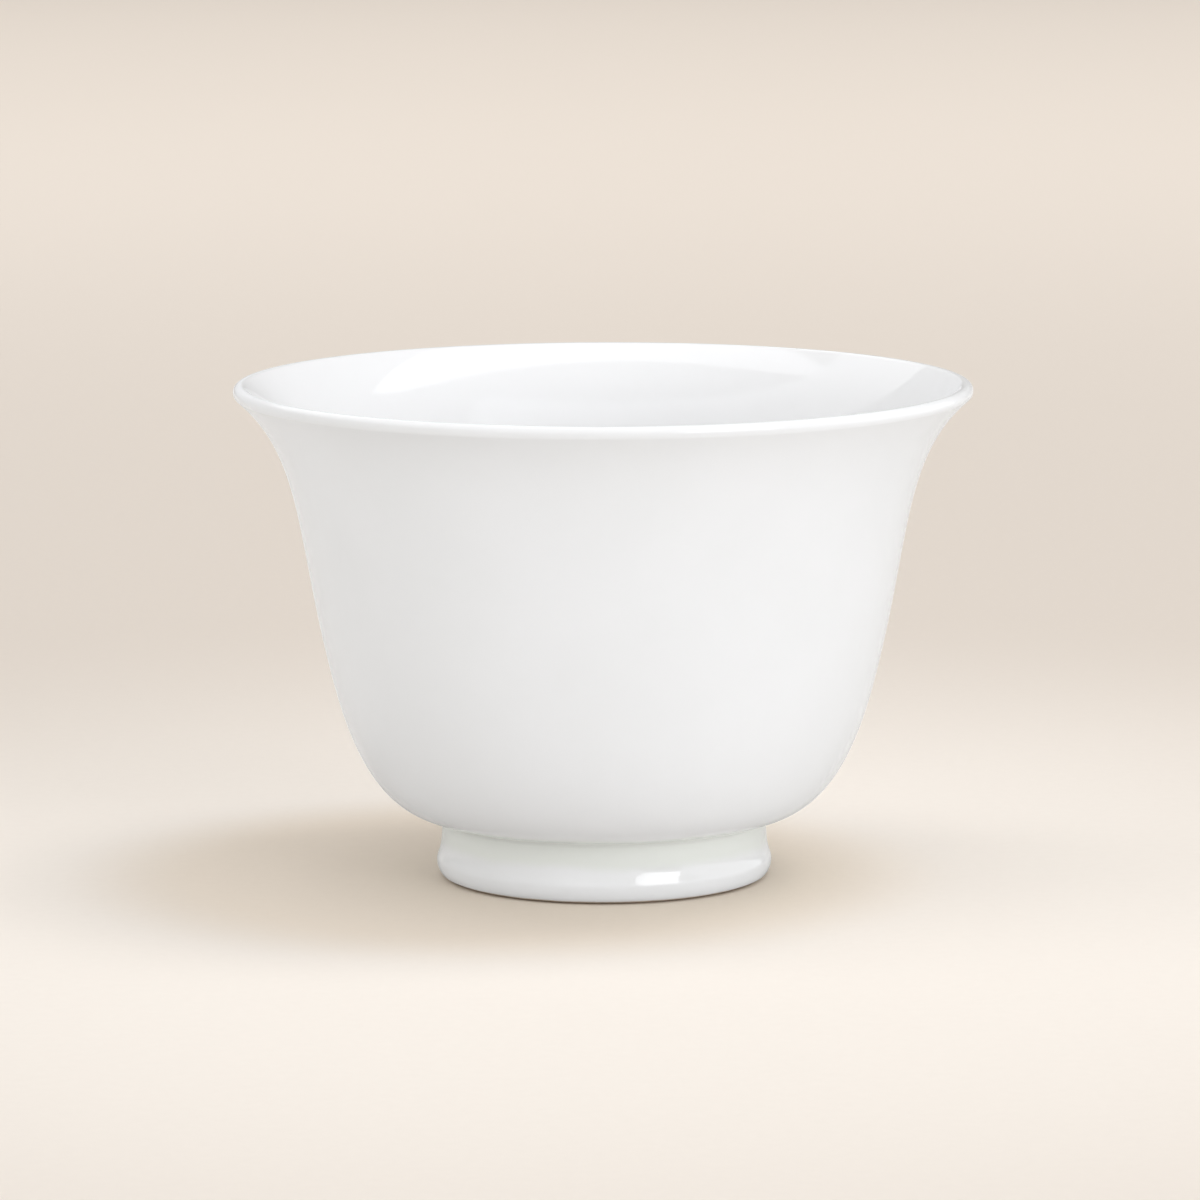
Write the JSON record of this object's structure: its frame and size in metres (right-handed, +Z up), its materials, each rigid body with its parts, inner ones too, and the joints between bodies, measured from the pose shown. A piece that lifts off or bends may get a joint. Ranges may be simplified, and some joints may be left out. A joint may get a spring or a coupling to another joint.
{
  "type": "teacup",
  "caption": "Handleless white porcelain teacup: a bell-shaped bowl with a turned-out lip, luted to a low ring foot, glazed inside and out with a bare standing edge.",
  "frame": {"origin": "on the cup's axis, in the plane of the standing edge of the foot ring", "axes": "+Z up along the cup's axis, out of the mouth; X and Y are free, because the cup is round"},
  "size_m": [0.088, 0.088, 0.0595],
  "materials": {
    "biscuit": "fired, unglazed porcelain, fine-grained and matt",
    "luting_slip": "fired clay slip, matt",
    "outside_glaze": "clear gloss glaze on white porcelain",
    "inside_glaze": "clear gloss glaze on white porcelain",
    "base_glaze": "clear gloss glaze, pooled in the corner of the foot ring"
  },
  "bodies": {
    "root": {"bowl": "biscuit", "slip_joint": "luting_slip", "foot_ring": "biscuit", "outside_glaze": "outside_glaze", "inside_glaze": "inside_glaze", "base_glaze": "base_glaze"}
  },
  "joints": []
}
